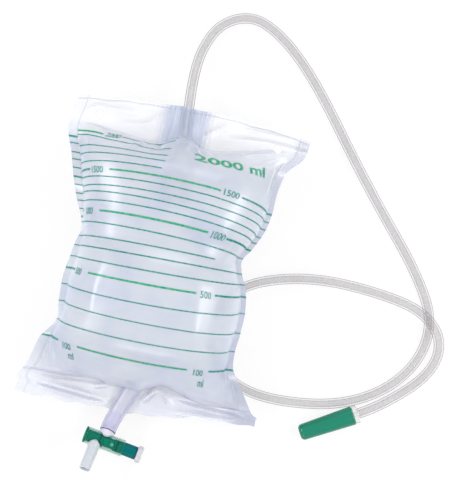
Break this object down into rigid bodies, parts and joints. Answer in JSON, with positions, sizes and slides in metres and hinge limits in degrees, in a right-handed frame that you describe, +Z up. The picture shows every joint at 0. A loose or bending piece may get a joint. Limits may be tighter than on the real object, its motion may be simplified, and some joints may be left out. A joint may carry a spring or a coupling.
{
  "type": "urine drainage bag",
  "caption": "Clear welded-film drainage bag with hanging holes, a long inlet tube with a capped connector, and a push-pull tap below its outlet.",
  "frame": {"origin": "on the table under the middle of the bag with its tap, leaving out the free tube and its end", "axes": "+Y along the bag from the tap to the top flange, +X to the right of its printed face, +Z up from the table"},
  "size_m": [0.3459, 0.3991, 0.0782],
  "materials": {
    "front_film": "clear soft film, glossy",
    "back_film": "clear soft film, glossy",
    "non_return_valve": "thin clear soft film",
    "outlet_tube": "pale lavender soft plastic",
    "tap_body": "clear moulded plastic",
    "plunger": "emerald green moulded plastic",
    "seal_left": "soft sealing ring",
    "seal_right": "soft sealing ring",
    "push_button": "white moulded plastic",
    "inlet_connector": "clear moulded plastic",
    "protective_cap": "emerald green moulded plastic",
    "inlet_tube": "clear soft tube"
  },
  "bodies": {
    "bag": {"front_film": "front_film", "back_film": "back_film", "non_return_valve": "non_return_valve", "outlet_tube": "outlet_tube", "tap_body": "tap_body", "inlet_connector": "inlet_connector", "inlet_tube": "inlet_tube"},
    "tap_plunger": {"plunger": "plunger", "seal_left": "seal_left", "seal_right": "seal_right", "push_button": "push_button"},
    "cap": {"protective_cap": "protective_cap"}
  },
  "joints": [
    {"name": "plunger_slide", "type": "slide", "parent": "bag", "child": "tap_plunger", "axis": [-0.9863, 0.165, 0], "range_m": [0, 0.0085]},
    {"name": "cap_pull", "type": "slide", "parent": "bag", "child": "cap", "axis": [-0.8692, -0.4938, -0.0255], "range_m": [0, 0.042]}
  ]
}
